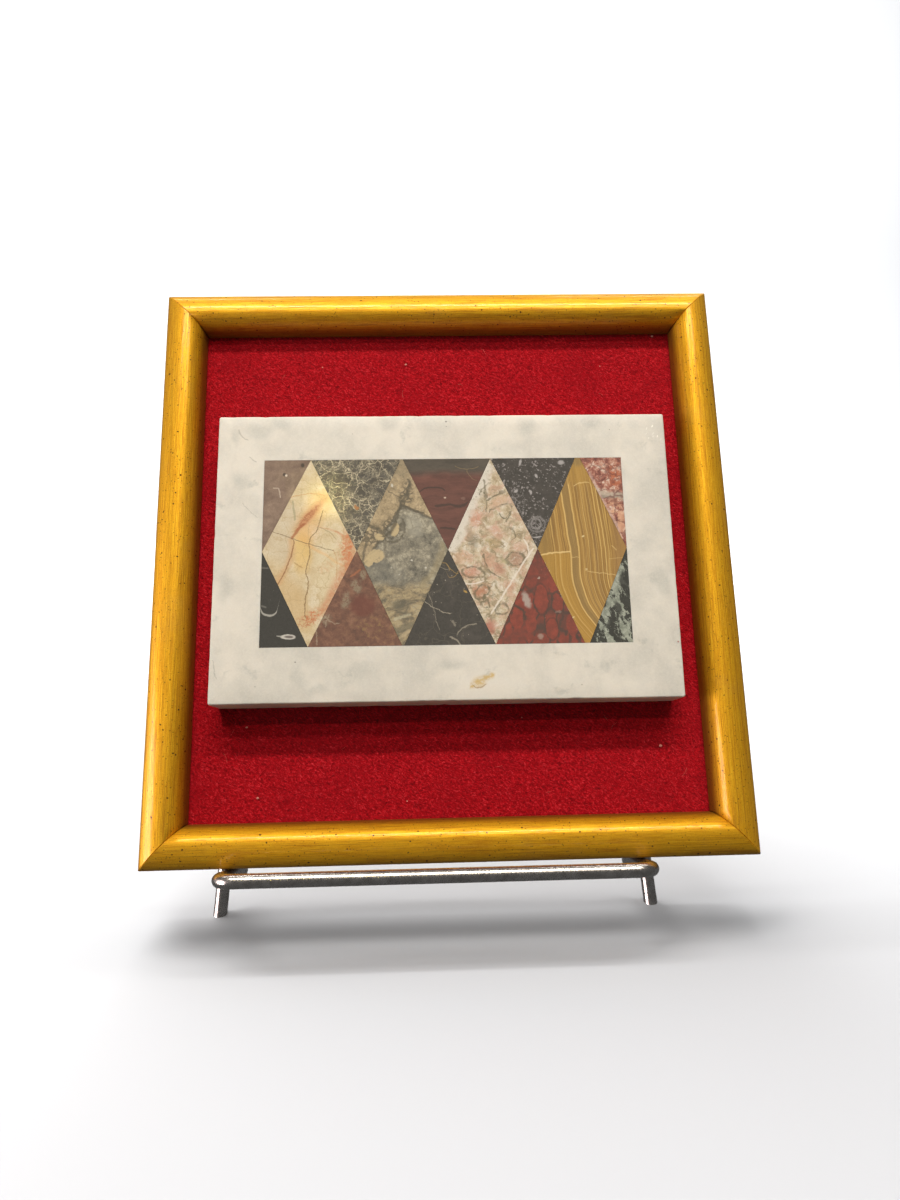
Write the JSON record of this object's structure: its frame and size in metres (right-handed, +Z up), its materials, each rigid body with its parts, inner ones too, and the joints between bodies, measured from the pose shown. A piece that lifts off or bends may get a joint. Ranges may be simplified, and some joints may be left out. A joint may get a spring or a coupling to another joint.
{
  "type": "framed marble panel on an easel",
  "caption": "Marble slab inlaid with lozenges and triangles of coloured stone, on red felt in a gilt moulded frame that leans on a bent rod easel.",
  "frame": {"origin": "middle of the footprint's box, on the surface that the easel's feet stand on", "axes": "+Z up, the panel faces -Y and leans back towards +Y, +X to the viewer's right"},
  "size_m": [0.21, 0.138, 0.2236],
  "materials": {
    "gilt": "wood with a satin gilt finish, flecked with dark specks",
    "felt": "crimson felt",
    "board": "raw fibreboard",
    "marble": "honed white marble with faint grey clouds",
    "chrome": "chrome-plated steel rod, slightly tarnished",
    "lozenge_siena": "polished cream and orange marble",
    "lozenge_grey_breccia": "polished tan and grey-green breccia",
    "lozenge_pink_breccia": "polished white and pink breccia",
    "lozenge_gold_onyx": "polished striped golden onyx",
    "top_corner_dusty_brown": "dull purple-brown limestone",
    "top_triangle_net_veined": "polished dark marble with a net of cream veins",
    "top_triangle_oxblood": "polished dark red marble",
    "top_triangle_charcoal": "polished charcoal marble with white flecks",
    "top_corner_red_breccia": "polished pink and red breccia",
    "bottom_corner_fossil_black": "polished black marble with white shell shapes",
    "bottom_triangle_red_brown": "polished mottled red-brown marble",
    "bottom_triangle_dark_grey": "polished charcoal marble with thin veins",
    "bottom_triangle_red_jasper": "polished red jasper",
    "bottom_corner_black_breccia": "polished black and pale green breccia"
  },
  "bodies": {
    "root": {"frame_rail_top": "gilt", "frame_rail_bottom": "gilt", "frame_stile_left": "gilt", "frame_stile_right": "gilt", "felt": "felt", "backing_board": "board", "marble_slab": "marble", "lozenge_siena": "lozenge_siena", "lozenge_grey_breccia": "lozenge_grey_breccia", "lozenge_pink_breccia": "lozenge_pink_breccia", "lozenge_gold_onyx": "lozenge_gold_onyx", "top_corner_dusty_brown": "top_corner_dusty_brown", "top_triangle_net_veined": "top_triangle_net_veined", "top_triangle_oxblood": "top_triangle_oxblood", "top_triangle_charcoal": "top_triangle_charcoal", "top_corner_red_breccia": "top_corner_red_breccia", "bottom_corner_fossil_black": "bottom_corner_fossil_black", "bottom_triangle_red_brown": "bottom_triangle_red_brown", "bottom_triangle_dark_grey": "bottom_triangle_dark_grey", "bottom_triangle_red_jasper": "bottom_triangle_red_jasper", "bottom_corner_black_breccia": "bottom_corner_black_breccia", "easel_ledge": "chrome", "easel_upright": "chrome", "easel_prop": "chrome"}
  },
  "joints": []
}
